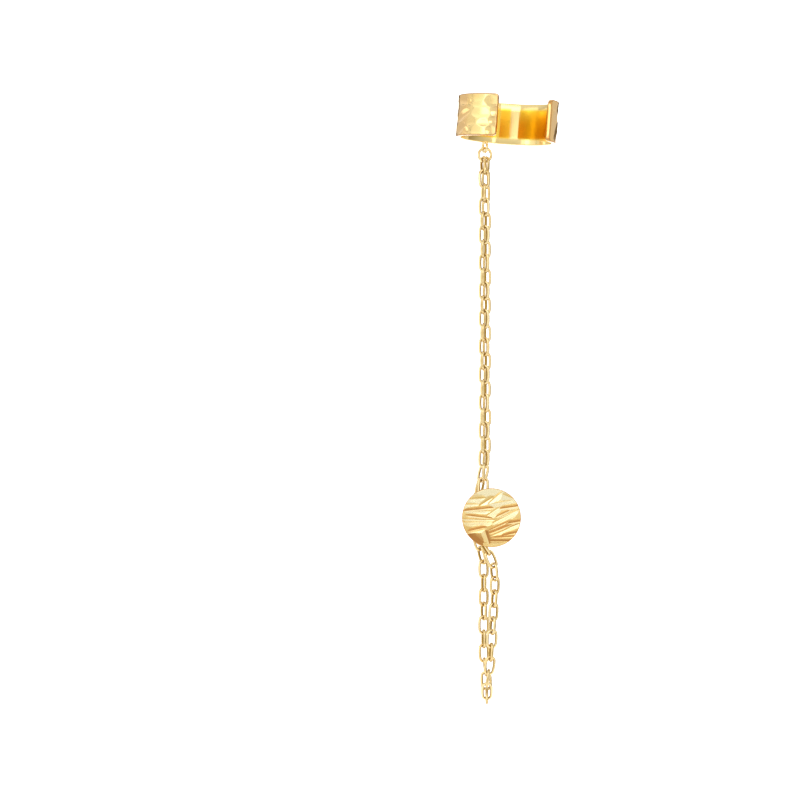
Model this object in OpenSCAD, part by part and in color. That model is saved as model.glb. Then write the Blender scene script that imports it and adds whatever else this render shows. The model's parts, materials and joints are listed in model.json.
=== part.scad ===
// Ear chain earring: an open ear cuff, two fine cable chains and a textured disc stud.
// Millimetres. +Z is up, +Y points to the wearer's ear, and the origin is the middle of the cuff.

/* [Cuff] */
// Outer diameter of the cuff
cuff_d = 10.2; // [9:0.1:13]
// Height of the cuff's band
cuff_h = 4.2; // [3:0.1:6]
// Thickness of the band
cuff_wall = 0.6; // [0.5:0.05:0.9]
// Direction that the cuff's opening faces, in degrees from the right
gap_at = -68.5; // [-100:0.5:-50]
// How much of the cuff's round is left open, in degrees
gap_angle = 70; // [50:1:90]
// Rounding of the corners at the band's two ends
corner_r = 0.35; // [0.1:0.05:0.8]
// Bevel along the band's edges
edge_bevel = 0.08; // [0.04:0.01:0.15]
// How far the cuff leans to the right, in degrees
cuff_lean = 4.2; // [0:0.2:8]

/* [Rings] */
// Wire of the rings
ring_wire = 0.28; // [0.24:0.02:0.34]
// Inner diameter of the ring soldered under the cuff
hang_ring_in = 0.74; // [0.74:0.02:1.2]
// Place of that ring around the cuff, in degrees from the right
hang_ring_at = 114.6; // [100:0.2:130]
// Inner diameter of the loose ring that both chains hang on
top_ring_in = 1.12; // [1.12:0.02:1.6]

/* [Chains] */
// Wire of a link
link_wire = 0.28; // [0.24:0.02:0.3]
// Outer width of a link
link_w = 1.2; // [1.16:0.02:1.4]
// Outer length of a link
link_len = 2.16; // [1.9:0.01:2.5]
// How far single links turn out of line, in degrees
link_sway = 7; // [0:1:10]
// How far the back chain's upper links stand turned against the front chain's, in degrees
back_turn = 90; // [0:5:90]
// How far the links of the back chain's rising end stand turned, in degrees
rise_turn = 30; // [0:5:45]
// Clear space between the front chain's links and the back chain's
chain_clear = 0.2; // [0.2:0.05:0.7]
// Drop from the middle of the cuff to the lowest link
loop_drop = 59.4; // [52:0.1:70]

/* [Stud] */
// Diameter of the disc
stud_d = 6; // [5:0.1:8]
// Thickness of the disc
stud_t = 0.5; // [0.4:0.05:0.8]
// Bevel round the disc's front edge
stud_bevel = 0.06; // [0.04:0.01:0.12]
// Drop from the middle of the cuff to the middle of the disc
stud_drop = 40.2; // [34:0.1:46]
// Place of the disc to the right of the cuff's middle
stud_side = -1.54; // [-2.2:0.02:-1.3]
// Diameter of the post
post_d = 0.8; // [0.7:0.05:0.9]
// Length of the post behind the disc
post_len = 10; // [8:0.5:12]
// Inner diameter of the ring soldered to the disc's back
back_ring_in = 1.16; // [1.16:0.02:1.6]
// Depth of the grooves cut in the disc's face
groove_t = 0.07; // [0.03:0.01:0.12]

/* [Fits] */
// Play between one wire and the next
play = 0.11; // [0.1:0.01:0.12]
// Clear space between the post and the links beside it, for the ear nut's sleeve
post_clear = 0.56; // [0.54:0.01:0.7]
// Clear space between the disc's back and the links beside it
disc_clear = 0.26; // [0.15:0.01:0.4]

/* [Hidden] */
round_fn = 96;
wire_fn = 24;

// A link's centre-line: its ends are rounds of straight steps, which lie inside the true round
half_w = (link_w - link_wire) / 2;
half_l = (link_len - link_wire) / 2;
end_share = 0.95;
end_r = half_w * end_share;
end_step = 36;
side_count = 12;
wire_sides = 6;
inside = end_r * (1 - cos(end_step / 2));

// Distance between the middles of two wires that hook into each other
link_hook = link_wire + play + 2 * inside;
ring_hook = (link_wire + ring_wire) / 2 + play + inside;
pitch = 2 * half_l - link_hook;

// The cuff, whose lean turns the rim's place with it
band_r = (cuff_d - cuff_wall) / 2;
end_spare = 4;
function leant(p) = [
  p[0] * cos(cuff_lean) + p[2] * sin(cuff_lean),
  p[1],
  p[2] * cos(cuff_lean) - p[0] * sin(cuff_lean)
];
rim = leant([band_r * cos(hang_ring_at), band_r * sin(hang_ring_at), -cuff_h / 2]);

// The ring under the cuff: its wire is sunk into the rim by a little over half
hang_r = (hang_ring_in + ring_wire) / 2;
solder = ring_wire / 4;
hang_c = rim + [0, 0, solder - hang_r];

// The loose ring, square to the one above it
top_r = (top_ring_in + ring_wire) / 2;
top_c = hang_c + [0, 0, ring_wire + play - hang_r - top_r];
along_ring = [sin(hang_ring_at), -cos(hang_ring_at), 0];
seat_z = top_c[2] - sqrt(pow(top_r - ring_hook, 2) - pow(link_hook / 2, 2));
front_start = [top_c[0], top_c[1], seat_z - link_hook / 2] - along_ring * link_hook / 2;
back_start = [top_c[0], top_c[1], seat_z - link_hook / 2] + along_ring * link_hook / 2;

// The two chains hang side by side in depth, a little apart sideways, and spread within two links
chain_side = 0.1;
chain_gap = link_w + chain_clear;
first_spread = 0.7;
front_x = top_c[0] - chain_side;
back_x = top_c[0] + chain_side;
front_y = top_c[1] - chain_gap / 2;
back_y = top_c[1] + chain_gap / 2;
function spread(start, x, y) = [
  start + [(x - start[0]) * first_spread, (y - start[1]) * first_spread, -pitch],
  [x, y, start[2] - 2 * pitch]
];

// The disc, with the ring on its back that holds both chains: the front chain at the ring's
// furthest point, and the rising end of the back chain at its left side
back_r = (back_ring_in + ring_wire) / 2;
ring_stand = link_wire / 2 + disc_clear;
ring_up = 1.2;
disc_y = front_y - ring_stand - back_r;
back_ring_x = stud_side - post_d / 2 - post_clear - link_w / 2 + back_r;
back_ring_z = ring_up - stud_drop;
hook_shift = ring_hook - link_hook / 2;
front_end = [back_ring_x, front_y, back_ring_z - hook_shift];
rise_end = [back_ring_x - back_r, disc_y + ring_stand, back_ring_z + hook_shift];

// Where the back chain passes the post, and where it hangs below it
pass_x = stud_side - post_d / 2 - post_clear - link_w / 2;
low_x = back_x - 2 * chain_side;
free_drop = loop_drop - stud_drop;

// The fold at the back chain's lowest link, between a link that leans back and one that leans forward
fold_side = 0.2;
fold_lean = 22;
fold = [top_c[0] + fold_side, top_c[1], (link_wire + link_hook) / 2 - loop_drop];
fold_back = fold + pitch * [0, sin(fold_lean), cos(fold_lean)];
rise_start = fold + [0, 0, link_hook];
rise_lean = rise_start + pitch * [0, -sin(fold_lean), cos(fold_lean)];
fold_links = 2;

// The back chain's way past the post: height above the disc's middle as a share of the disc's
// diameter, and where it hangs
pass_height = 0;
pass_place = 1;
pass_table = [
  [0.92, back_x],
  [0.20, pass_x],
  [-0.20, pass_x],
  [-0.80, low_x]
];

// The rising end of the back chain: height above the lowest link as a share of the free drop,
// and distance to the right of the cuff's ring as a share of the disc's diameter
rise_height = 0;
rise_side = 1;
rise_table = [
  [0.91, -0.125],
  [0.85, -0.035],
  [0.79, 0.100],
  [0.72, 0.165],
  [0.62, 0.165],
  [0.22, 0.090]
];

// Routes of the chains, from their upper end
end_links = 4;
low_bend = 0.26;
fold_left = 0.1;
first_in = 0.3;
first_links = 1.4;
front_route = concat(
  [front_start],
  spread(front_start, front_x, front_y),
  [[front_x, front_y, front_end[2] + end_links * pitch], front_end]
);
back_route = concat(
  [back_start],
  spread(back_start, back_x, back_y),
  [for (row = pass_table) [row[pass_place], back_y, row[pass_height] * stud_d - stud_drop]],
  [
    [low_x, back_y, low_bend * free_drop - loop_drop],
    [fold[0] - fold_left, back_y, fold[2] + fold_links * pitch],
    fold_back,
    fold
  ]
);
rise_route = concat(
  [rise_end, [rise_end[0], front_y - first_in, rise_end[2] - first_links * pitch]],
  [
    for (row = rise_table)
    [top_c[0] + row[rise_side] * stud_d, front_y, row[rise_height] * free_drop - loop_drop]
  ],
  [
    [fold[0] + fold_side, front_y, rise_start[2] + fold_links * pitch],
    rise_lean,
    rise_start
  ]
);

// Grooves across the disc's face: place of each one's middle to the right of the disc's middle
// and above it, and its length, as shares of the disc's diameter, then its slope in degrees
groove_side = 0;
groove_up = 1;
groove_long = 2;
groove_slope = 3;
groove_table = [
  [-0.11, 0.16, 0.40, 5],
  [0.31, 0.19, 0.22, 8],
  [0.20, 0.08, 0.20, 26],
  [-0.26, 0.05, 0.40, 0],
  [-0.22, -0.06, 0.48, 2],
  [0.33, -0.04, 0.22, 16],
  [0.14, -0.17, 0.32, 22],
  [0.17, -0.32, 0.28, 0]
];

// Length along a route up to one of its points, and the place at a length along it
function route_len(route, i) = i == 0 ? 0 : route_len(route, i - 1) + norm(route[i] - route[i - 1]);
function whole(route) = route_len(route, len(route) - 1);
function route_at(route, s) = [
  for (axis = [0:2]) lookup(s, [for (i = [0:len(route) - 1]) [route_len(route, i), route[i][axis]]])
];
function link_count(route) = ceil(whole(route) / pitch - 0.001);
function hook_at(route, k) = route_at(route, whole(route) * k / link_count(route));

// Smallest even twist that brings the last link to the turn it needs
function twist(route, from, to) =
  let (left = to - from - 90 * (link_count(route) - 1))
  left - 180 * round(left / 180);

// How far a chain's links stand turned at a height. Each chain takes half of the turn between the
// two, and the back chain gives up its half on its way past the disc, between two heights above the
// disc's middle that are shares of the disc's diameter
upper_lead = 0;
lower_lead = 1;
lead_top = 1.1;
lead_low = -0.8;
function lead_at(lead, z) =
  let (share = ((z + stud_drop) / stud_d - lead_low) / (lead_top - lead_low))
  lead[lower_lead] + (lead[upper_lead] - lead[lower_lead]) * max(0, min(1, share));

// Turn of a link about the chain: the first and the last stand square to what they hang on, the
// chain's lead is taken up over its first links and what is left of the twist over its last ones
lead_links = 4;
twist_links = 7;
sway_step = 107;
function sway(k, count) = k == 1 || k == count ? 0 : link_sway * sin(sway_step * (k + count));
function link_turn(route, from, to, lead, k) =
  let (
    count = link_count(route),
    begun = min(1, (k - 1) / min(lead_links, count - 1)),
    ended = max(0, 1 - (count - k) / min(twist_links, count - 1))
  )
  from + 90 * (k - 1) + lead_at(lead, hook_at(route, k)[2]) * begun
  + twist(route, from + lead[lower_lead], to) * ended + sway(k, count);

// Five points of a link's centre-line lie round each end and one at the middle of each side
function end_point(i) =
  let (a = 90 + end_step * (2 - i))
  [[end_r * cos(a), half_l - end_r + end_r * sin(a)], a];
function line_point(i) =
  i < 5 ? end_point(4 - i)
  : i == 5 ? [[-half_w, 0], 180]
  : let (p = line_point(i - 6)) [-p[0], p[1] + 180];
function wire_point(i, j) =
  let (p = line_point(i), around = 360 * (j + 0.5) / wire_sides, out = cos(around) * link_wire / 2)
  [p[0][0] + out * cos(p[1]), sin(around) * link_wire / 2, p[0][1] + out * sin(p[1])];

module link() {
  polyhedron(
    points = [for (i = [0:side_count - 1]) for (j = [0:wire_sides - 1]) wire_point(i, j)],
    faces = [
      for (i = [0:side_count - 1]) for (j = [0:wire_sides - 1])
      let (next_i = (i + 1) % side_count, next_j = (j + 1) % wire_sides)
      [i * wire_sides + j, next_i * wire_sides + j, next_i * wire_sides + next_j, i * wire_sides + next_j]
    ]
  );
}

// Links of one route: each lies between two hooks and is a quarter turn on from the one before
module links(route, from, to, lead) {
  count = link_count(route);
  for (k = [1:count]) {
    upper = hook_at(route, k - 1);
    lower = hook_at(route, k);
    up = (upper - lower) / norm(upper - lower);
    swing = atan2(up[1], up[0]);
    turn = link_turn(route, from, to, lead, k);
    translate((upper + lower) / 2) rotate([0, acos(up[2]), swing]) rotate([0, 0, turn - swing]) link();
  }
}

// A round of wire that stands upright, with its flat turned by an angle
module wire_ring(r, turn) {
  rotate([0, 0, turn]) rotate([90, 0, 0])
    rotate_extrude($fn = round_fn) translate([r, 0]) circle(d = ring_wire, $fn = wire_fn);
}

module band_section() {
  polygon([
    [cuff_d / 2 - cuff_wall + edge_bevel, -cuff_h / 2],
    [cuff_d / 2 - edge_bevel, -cuff_h / 2],
    [cuff_d / 2, edge_bevel - cuff_h / 2],
    [cuff_d / 2, cuff_h / 2 - edge_bevel],
    [cuff_d / 2 - edge_bevel, cuff_h / 2],
    [cuff_d / 2 - cuff_wall + edge_bevel, cuff_h / 2],
    [cuff_d / 2 - cuff_wall, cuff_h / 2 - edge_bevel],
    [cuff_d / 2 - cuff_wall, edge_bevel - cuff_h / 2]
  ]);
}

// What is cut off beyond a band's end, seen along the thickness of the wall: its corners stay round
module end_cut() {
  translate([band_r, 0, 0]) rotate([0, 90, 0])
    linear_extrude(height = 3 * cuff_wall, center = true) difference() {
      translate([-cuff_h, -2 * cuff_wall]) square([2 * cuff_h, 2 * cuff_wall + corner_r]);
      translate([corner_r - cuff_h / 2, 0]) square([cuff_h - 2 * corner_r, 2 * corner_r]);
      for (edge = [-1, 1])
        translate([edge * (cuff_h / 2 - corner_r), corner_r]) circle(r = corner_r, $fn = wire_fn);
    }
}

// The band is turned a little longer than it is, and each end is then cut off
module ear_cuff() {
  color("gold") union() {
    rotate([0, cuff_lean, 0]) difference() {
      rotate([0, 0, gap_at + gap_angle / 2 - end_spare])
        rotate_extrude(angle = 360 - gap_angle + 2 * end_spare, $fn = round_fn) band_section();
      for (side = [0, 1])
        rotate([0, 0, gap_at]) mirror([0, side, 0]) rotate([0, 0, gap_angle / 2]) end_cut();
    }
    translate(hang_c) wire_ring(hang_r, hang_ring_at);
  }
}

module top_ring() {
  color("gold") translate(top_c) wire_ring(top_r, hang_ring_at - 90);
}

module stud_chain() {
  half_turn = back_turn / 2;
  color("goldenrod") links(front_route, hang_ring_at, 90, [-half_turn, -half_turn]);
}

module loop_chain() {
  color("darkgoldenrod") union() {
    links(back_route, hang_ring_at, 90, [back_turn / 2, 0]);
    links(rise_route, 0, 0, [rise_turn, rise_turn]);
  }
}

// A groove with a V section across the disc's face
module groove(row) {
  translate([row[groove_side] * stud_d, row[groove_up] * stud_d, stud_t])
    rotate([0, 0, row[groove_slope]]) rotate([90, 0, 90])
      linear_extrude(height = row[groove_long] * stud_d, center = true)
        polygon([[0, -groove_t], [2 * groove_t, groove_t / 2], [-2 * groove_t, groove_t / 2]]);
}

module disc() {
  rotate([90, 0, 0]) difference() {
    rotate_extrude($fn = round_fn) polygon([
      [0, 0],
      [stud_d / 2, 0],
      [stud_d / 2, stud_t - stud_bevel],
      [stud_d / 2 - stud_bevel, stud_t],
      [0, stud_t]
    ]);
    for (row = groove_table) groove(row);
  }
}

// The post starts inside the disc and ends in a short cone
module post() {
  root = stud_t / 2;
  tip = post_d / 2;
  rotate([-90, 0, 0]) rotate_extrude($fn = round_fn) polygon([
    [0, -root],
    [post_d / 2, -root],
    [post_d / 2, post_len - tip],
    [post_d / 4, post_len],
    [0, post_len]
  ]);
}

// The ring soldered to the disc's back, which ends at the middle of the disc's thickness
module back_ring() {
  intersection() {
    translate([0, ring_stand, 0]) rotate([90, 0, 0]) wire_ring(back_r, 0);
    translate([-2 * back_r, -stud_t / 2, -ring_wire]) cube([4 * back_r, 4 * back_r, 2 * ring_wire]);
  }
}

module disc_stud() {
  color("gold") union() {
    translate([stud_side, disc_y, -stud_drop]) {
      disc();
      post();
    }
    translate([back_ring_x, disc_y, back_ring_z]) back_ring();
  }
}

ear_cuff();
top_ring();
stud_chain();
loop_chain();
disc_stud();
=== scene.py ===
import json
import math

import bpy
import numpy as np
from bpy.props import FloatProperty, FloatVectorProperty, IntProperty, PointerProperty
from mathutils import Matrix, Vector


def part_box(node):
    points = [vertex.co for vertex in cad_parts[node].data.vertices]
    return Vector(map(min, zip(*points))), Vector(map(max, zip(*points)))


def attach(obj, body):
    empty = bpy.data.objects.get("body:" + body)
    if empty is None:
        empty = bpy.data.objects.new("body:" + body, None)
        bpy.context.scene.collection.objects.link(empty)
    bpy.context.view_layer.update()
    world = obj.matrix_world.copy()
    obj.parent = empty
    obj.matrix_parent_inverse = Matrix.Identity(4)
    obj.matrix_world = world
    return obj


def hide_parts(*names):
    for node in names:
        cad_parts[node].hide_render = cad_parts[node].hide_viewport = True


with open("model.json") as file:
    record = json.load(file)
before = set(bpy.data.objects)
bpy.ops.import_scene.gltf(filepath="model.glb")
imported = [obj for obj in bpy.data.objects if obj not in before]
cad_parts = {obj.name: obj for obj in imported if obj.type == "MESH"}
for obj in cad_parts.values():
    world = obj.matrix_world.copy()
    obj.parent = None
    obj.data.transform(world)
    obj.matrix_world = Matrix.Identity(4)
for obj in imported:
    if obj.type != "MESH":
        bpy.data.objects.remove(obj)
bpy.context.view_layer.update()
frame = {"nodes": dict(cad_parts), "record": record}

bl_info = {
    "name": "Ear Chain Earring",
    "version": (1, 0, 0),
    "blender": (4, 5, 0),
    "location": "View3D > Sidebar > Earring",
    "description": "Makes the hammered cuff, the chains and the cut disc of an ear chain earring",
    "category": "Add Mesh",
}

MM = 0.001
BODY = "root"


# Sizes and colours that a user would change

def metres(name, description, default):
    """A length that a user can set."""
    return FloatProperty(name=name, description=description, default=default, unit="LENGTH")


def degrees(name, description, default):
    """An angle that a user can set, given here in degrees."""
    return FloatProperty(name=name, description=description, default=math.radians(default),
                         subtype="ANGLE")


class CuffSizes(bpy.types.PropertyGroup):
    """Sizes of the open cuff"""
    diameter: metres("Diameter", "Outer diameter of the cuff", 10.2 * MM)
    height: metres("Height", "Height of the band", 4.2 * MM)
    wall: metres("Wall", "Thickness of the band", 0.6 * MM)
    opening_at: degrees("Opening at", "Direction that the opening faces", -68.5)
    opening: degrees("Opening", "How much of the round is open", 70)
    lean: degrees("Lean", "How far the cuff leans to the right", 4.2)
    corner: metres("Corner", "Rounding of the corners at the band's ends", 0.35 * MM)
    edge: metres("Edge", "Rounding along the band's edges", 0.12 * MM)
    flare: metres("Flare", "How far the inside opens towards the band's edges", 0.09 * MM)
    blow: metres("Blow", "Depth of a full hammer mark", 0.085 * MM)
    step: metres("Step", "Size of a face on the hammered side", 0.06 * MM)


class WireSizes(bpy.types.PropertyGroup):
    """Sizes of the rings and links"""
    ring_wire: metres("Ring wire", "Wire of the rings", 0.28 * MM)
    ring_turn: degrees("Ring turn", "Direction of the ring under the cuff", 114.6)
    seam: metres("Seam", "Cut in the loose ring", 0.02 * MM)
    link_wire: metres("Link wire", "Wire of a link", 0.29 * MM)
    link_width: metres("Link width", "Outer width of a link", 1.2 * MM)
    link_length: metres("Link length", "Outer length of a link", 2.03 * MM)
    link_steps: IntProperty(name="Link steps", description="Faces round a link", default=44)
    wire_sides: IntProperty(name="Wire sides", description="Faces round the wire", default=12)


class StudSizes(bpy.types.PropertyGroup):
    """Sizes of the disc and its post"""
    thickness: metres("Thickness", "Thickness of the disc", 0.5 * MM)
    edge: metres("Edge", "Rounding of the disc's rim", 0.07 * MM)
    cut: metres("Cut", "Depth of a full cut in the disc's face", 0.13 * MM)
    spread: FloatProperty(name="Spread", description="How far neighbouring cuts run into each other",
                          default=1.35)
    line: metres("Line", "Depth of the fine lines in a cut", 0.004 * MM)
    line_pitch: metres("Line pitch", "Distance between fine lines", 0.14 * MM)
    steps: IntProperty(name="Steps", description="Faces across the disc's face", default=220)


def gold_tone(name, description, default):
    """A colour that a user can set."""
    return FloatVectorProperty(name=name, description=description, subtype="COLOR", size=4, min=0, max=1,
                               default=(*default, 1))


class GoldColours(bpy.types.PropertyGroup):
    """Colours of the gold"""
    # Painted shade: pale and rich gold mix by random tone, and the deeper hammer marks are painted richer and
    # darker
    pale: gold_tone("Pale gold", "Gold where it is worn bright", (1.0, 0.82, 0.40))
    rich: gold_tone("Rich gold", "Gold away from the edges", (1.0, 0.72, 0.26))
    wire: gold_tone("Wire gold", "Gold of the links and rings", (1.0, 0.85, 0.50))
    drawn: gold_tone("Drawn gold", "Gold of the links where it is less bright", (0.96, 0.71, 0.33))
    # Painted shade on the inner side of each link and along its outer side
    painted_link_shade: gold_tone("Dusky gold", "Gold inside the links, where no polish reaches", (0.42, 0.24, 0.03))
    # Painted highlight: cream lies on the sides of the disc's cuts that face up
    cream: gold_tone("Cream gold", "Gold on the disc's brightest cuts", (1.0, 0.89, 0.56))
    # Painted shade: tan lies on the band's outside where it turns away from the front
    tan: gold_tone("Tan gold", "Gold on the cuff's turned sides", (0.96, 0.65, 0.29))
    # Painted shade: brown lies along the band's edges, on the rim of the disc and on the side of each cut
    # that faces down
    brown: gold_tone("Brown gold", "Gold in deep cuts and along edges", (0.56, 0.26, 0.07))
    # Painted reflection: the deep amber inside the band stands in for gold reflecting gold
    amber: gold_tone("Amber gold", "Gold inside the cuff", (0.98, 0.62, 0.05))


class StageSizes(bpy.types.PropertyGroup):
    """Camera, light and floor"""
    distance: metres("Distance", "Camera's distance in front of the cuff's middle", 0.31)
    side: metres("Side", "Camera's place to the right", -10.826 * MM)
    level: metres("Level", "Camera's height", -28.25 * MM)
    frame_width: metres("Frame width", "Width of what the camera sees at the cuff", 80.64 * MM)
    floor_level: metres("Floor level", "Height of the floor", -95 * MM)
    light: FloatProperty(name="Light", description="Brightness of the lamps", default=1.0)


GROUPS = {
    "earring_cuff": CuffSizes,
    "earring_wire": WireSizes,
    "earring_stud": StudSizes,
    "earring_gold": GoldColours,
    "earring_stage": StageSizes,
}


# Node trees

class Output:
    """One output of a node. Arithmetic on it adds Math nodes."""

    def __init__(self, graph, socket):
        self.graph = graph
        self.socket = socket

    def other(self, name):
        return Output(self.graph, self.socket.node.outputs[name])

    def math(self, operation, *others):
        return self.graph.add("ShaderNodeMath", {"operation": operation}, dict(enumerate((self, *others))))

    def __add__(self, other):
        return self.math("ADD", other)

    def __radd__(self, other):
        return self.math("ADD", other)

    def __sub__(self, other):
        return self.math("SUBTRACT", other)

    def __rsub__(self, other):
        return self.graph.add("ShaderNodeMath", {"operation": "SUBTRACT"}, {0: other, 1: self})

    def __mul__(self, other):
        return self.math("MULTIPLY", other)

    def __rmul__(self, other):
        return self.math("MULTIPLY", other)

    def __truediv__(self, other):
        return self.math("DIVIDE", other)


class Graph:
    """A shader, world or geometry tree that is being built."""

    def __init__(self, tree):
        self.tree = tree

    def add(self, kind, settings=None, values=None, output=0):
        """Adds a node, sets its settings and then its sockets, and gives one of its outputs."""
        node = self.tree.nodes.new(kind)
        for name, value in (settings or {}).items():
            if name == "stops":
                set_stops(node.color_ramp, value)
            else:
                setattr(node, name, value)
        for key, value in (values or {}).items():
            if isinstance(value, Output):
                self.tree.links.new(value.socket, node.inputs[key])
            else:
                node.inputs[key].default_value = value
        return Output(self, node.outputs[output]) if node.outputs else node

    def mix(self, factor, a, b):
        return self.add("ShaderNodeMix", {"data_type": "RGBA"}, {0: factor, 6: a, 7: b}, output=2)

    def noise(self, vector, scale, detail=2.0, roughness=0.5):
        values = {"Vector": vector, "Scale": scale, "Detail": detail, "Roughness": roughness}
        return self.add("ShaderNodeTexNoise", None, values)

    def vector(self, operation, a, b=(0, 0, 0), output=0):
        return self.add("ShaderNodeVectorMath", {"operation": operation}, {0: a, 1: b}, output)

    def stretch(self, vector, scale):
        return self.vector("MULTIPLY", vector, scale)

    def attribute(self, name, output="Fac"):
        return self.add("ShaderNodeAttribute", {"attribute_name": name}, output=output)

    def bump(self, height, strength, distance, **more):
        values = {"Strength": strength, "Distance": distance, "Height": height, **more}
        return self.add("ShaderNodeBump", None, values)

    def ramp(self, factor, stops):
        return self.add("ShaderNodeValToRGB", {"stops": stops}, {"Fac": factor})


def set_stops(ramp, stops):
    while len(ramp.elements) > 1:
        ramp.elements.remove(ramp.elements[0])
    ramp.elements[0].position, ramp.elements[0].color = stops[0]
    for position, colour in stops[1:]:
        ramp.elements.new(position).color = colour


def grey(value):
    return (value, value, value, 1)


# Materials

def new_material(name):
    material = bpy.data.materials.new(name)
    material.use_nodes = True
    material.node_tree.nodes.clear()
    return material, Graph(material.node_tree)


def close_material(graph, colour, roughness, normal):
    gold = {"Base Color": colour, "Metallic": 1.0, "Roughness": roughness, "Normal": normal}
    shader = graph.add("ShaderNodeBsdfPrincipled", None, gold)
    graph.add("ShaderNodeOutputMaterial", None, {"Surface": shader})


def hammered_gold():
    """Gold with soft changes of tone, fine brushing and small pits, painted shade in tan on the outside's
    turned sides, a painted reflection in amber inside and painted shade in brown at the edges.
    """
    material, graph = new_material("hammered_gold_look")
    gold = bpy.context.scene.earring_gold
    place = graph.add("ShaderNodeTexCoord", output="Object")
    depth, inside = graph.attribute("depth"), graph.attribute("inside")
    warm, rim = graph.attribute("warm"), graph.attribute("rim")
    broad = graph.noise(place, scale=420.0, detail=3.0)
    fine = graph.noise(graph.stretch(place, (1, 1, 14)), scale=2600.0, detail=4.0, roughness=0.6)
    pits = graph.noise(place, scale=9000.0)
    # Random tone of pale and rich gold, with painted shade that makes the deeper hammer marks richer
    outer = graph.mix(broad * 0.55 + fine * 0.2 + depth * 0.35, tuple(gold.pale), tuple(gold.rich))
    # Painted shade in tan on the outside where the band turns away from the front
    sides = graph.mix(warm * (0.6 + 0.4 * fine), outer, tuple(gold.tan))
    # Painted reflection in amber inside the band
    hollow = graph.mix(inside, sides, tuple(gold.amber))
    # Painted shade in brown along the band's edges
    colour = graph.mix(rim * 0.9, hollow, tuple(gold.brown))
    roughness = 0.07 + 0.08 * broad + 0.05 * fine + 0.1 * inside
    brushed = graph.bump(fine, strength=0.12, distance=0.004 * MM)
    normal = graph.bump(pits, strength=0.1, distance=0.002 * MM, Normal=brushed)
    close_material(graph, colour, roughness, normal)
    return material


def polished_gold():
    """Gold wire, each link a little apart in tone, with painted shade on the inner side of each link and less
    on its outer side.
    """
    material, graph = new_material("polished_gold_look")
    gold = bpy.context.scene.earring_gold
    place = graph.add("ShaderNodeTexCoord", output="Object")
    tint, inner = graph.attribute("tint"), graph.attribute("inner")
    broad = graph.noise(place, scale=900.0)
    fine = graph.noise(place, scale=7000.0, detail=3.0, roughness=0.6)
    bright = graph.mix(tint * 0.4 + broad * 0.6, tuple(gold.wire), tuple(gold.drawn))
    steep, darkest = 1.7, 0.92
    # Painted shade: darkest on the link's inner side, lighter on its outer side
    worn = (inner * steep - 0.15).math("MAXIMUM", inner * -steep - 1.0).math("MINIMUM", darkest)
    colour = graph.mix(worn, bright, tuple(gold.painted_link_shade))
    roughness = 0.08 + 0.08 * broad + 0.05 * fine
    normal = graph.bump(fine, strength=0.1, distance=0.003 * MM)
    close_material(graph, colour, roughness, normal)
    return material


def cut_gold():
    """Gold whose fine lines run along each cut of the tool, with painted shade in brown where a cut faces
    down and towards the bottom, and painted highlight in cream where it faces up.
    """
    material, graph = new_material("cut_gold_look")
    gold = bpy.context.scene.earring_gold
    place = graph.add("ShaderNodeTexCoord", output="Object")
    cut, shade = graph.attribute("cut", "Vector"), graph.attribute("shade")
    lines = graph.noise(graph.stretch(cut, (9.0, 0.5, 1.0)), scale=1.6, detail=3.0, roughness=0.65)
    broad = graph.noise(place, scale=700.0)
    # Painted shade, streaked by the fine lines of the cut
    worn = shade + (lines - 0.5) * 0.7
    # Painted highlight in cream where the painted shade is light
    bright = graph.mix(worn * 2.2, tuple(gold.cream), tuple(gold.rich))
    colour = graph.mix(worn * 1.6 - 0.55, bright, tuple(gold.brown))
    roughness = 0.1 + 0.12 * lines + 0.06 * broad
    normal = graph.bump(lines, strength=0.35, distance=0.008 * MM)
    close_material(graph, colour, roughness, normal)
    return material


def material_of(slot):
    """The material for a slot of the record, made when it is first asked for."""
    makers = {"hammered_gold": hammered_gold, "polished_gold": polished_gold, "cut_gold": cut_gold}
    return bpy.data.materials.get(slot + "_look") or makers[slot]()


# Meshes

def new_piece(name, points, faces, slot, sharp=30, floats=None, vectors=None):
    """A smooth mesh object at the origin with its material, sharp edges and attributes."""
    mesh = bpy.data.meshes.new(name)
    mesh.from_pydata([tuple(p) for p in points], [], [tuple(f) for f in faces])
    for attribute, values in (floats or {}).items():
        mesh.attributes.new(attribute, "FLOAT", "POINT").data.foreach_set("value", np.ravel(values))
    for attribute, values in (vectors or {}).items():
        mesh.attributes.new(attribute, "FLOAT_VECTOR", "POINT").data.foreach_set("vector", np.ravel(values))
    mesh.shade_smooth()
    mesh.set_sharp_from_angle(angle=math.radians(sharp))
    mesh.materials.append(material_of(slot))
    mesh.validate()
    piece = bpy.data.objects.new(name, mesh)
    bpy.context.scene.collection.objects.link(piece)
    return piece


def finish_piece(piece, slot, *nodes):
    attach(piece, BODY)
    if nodes:
        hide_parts(*nodes)


def tube_faces(rows, columns, closed):
    """Faces of rows of points, each row a closed round. The rows may close too."""
    faces = []
    for i in range(rows if closed else rows - 1):
        here, there = i * columns, (i + 1) % rows * columns
        for j in range(columns):
            k = (j + 1) % columns
            faces.append((here + j, there + j, there + k, here + k))
    return faces


def capped(points, faces, columns):
    """Closes an open tube of rows with one flat face at each end."""
    count = len(points)
    return faces + [tuple(range(columns)), tuple(range(count - 1, count - columns - 1, -1))]


def closed_faces(rows, steps):
    """Faces of rows of points that lie between a first and a last point on their axis."""
    last = rows * steps + 1
    faces = [(0, 1 + (j + 1) % steps, 1 + j) for j in range(steps)]
    for face in tube_faces(rows, steps, False):
        faces.append(tuple(reversed([1 + i for i in face])))
    return faces + [(last, last - steps + j, last - steps + (j + 1) % steps) for j in range(steps)]


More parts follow.
